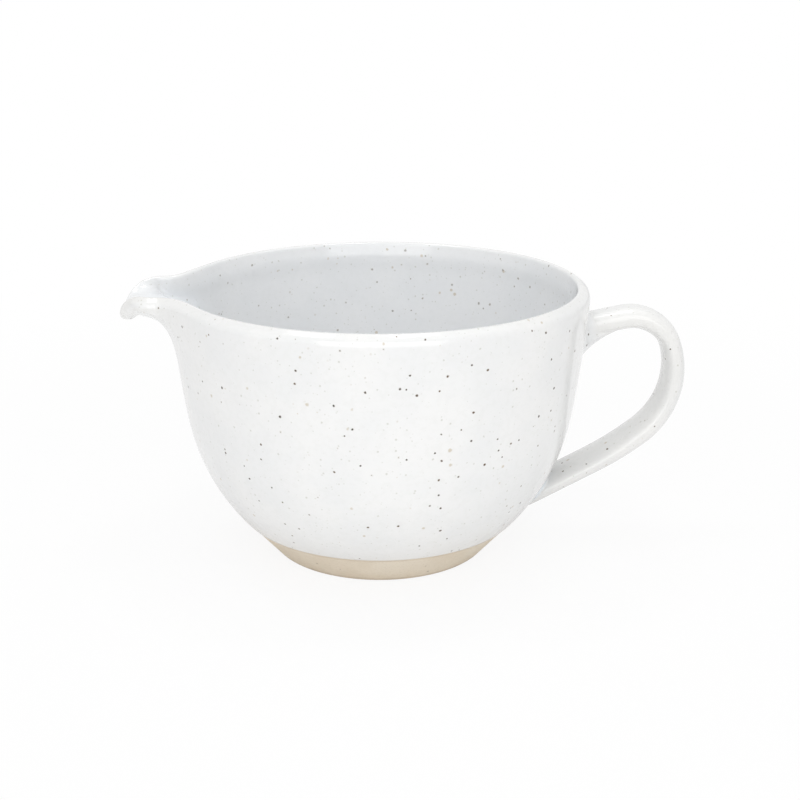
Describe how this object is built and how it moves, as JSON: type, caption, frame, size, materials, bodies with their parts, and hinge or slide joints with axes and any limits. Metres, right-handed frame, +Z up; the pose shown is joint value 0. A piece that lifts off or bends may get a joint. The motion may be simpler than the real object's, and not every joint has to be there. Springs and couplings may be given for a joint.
{
  "type": "batter bowl",
  "caption": "Deep round stoneware mixing bowl with a pulled pouring spout, a looped strap handle and a bare clay foot, for mixing and pouring batter.",
  "frame": {"origin": "centre of the foot's flat underside, on the table", "axes": "+Z up out of the mouth, +X towards the handle and -X towards the spout, +Y to the far side"},
  "size_m": [0.3142, 0.23, 0.152],
  "materials": {
    "clay": "bare fired stoneware, matt and slightly grainy",
    "slip": "glossy glaze pooled bluish over the slip",
    "glaze": "glossy white glaze with iron speckles",
    "liner_glaze": "glossy cool white glaze with iron speckles"
  },
  "bodies": {
    "root": {"bowl_body": "clay", "pouring_spout": "clay", "handle": "clay", "upper_slip_joint": "slip", "lower_slip_joint": "slip", "outer_glaze": "glaze", "inner_glaze": "liner_glaze", "spout_glaze": "glaze", "handle_glaze": "glaze"}
  },
  "joints": []
}
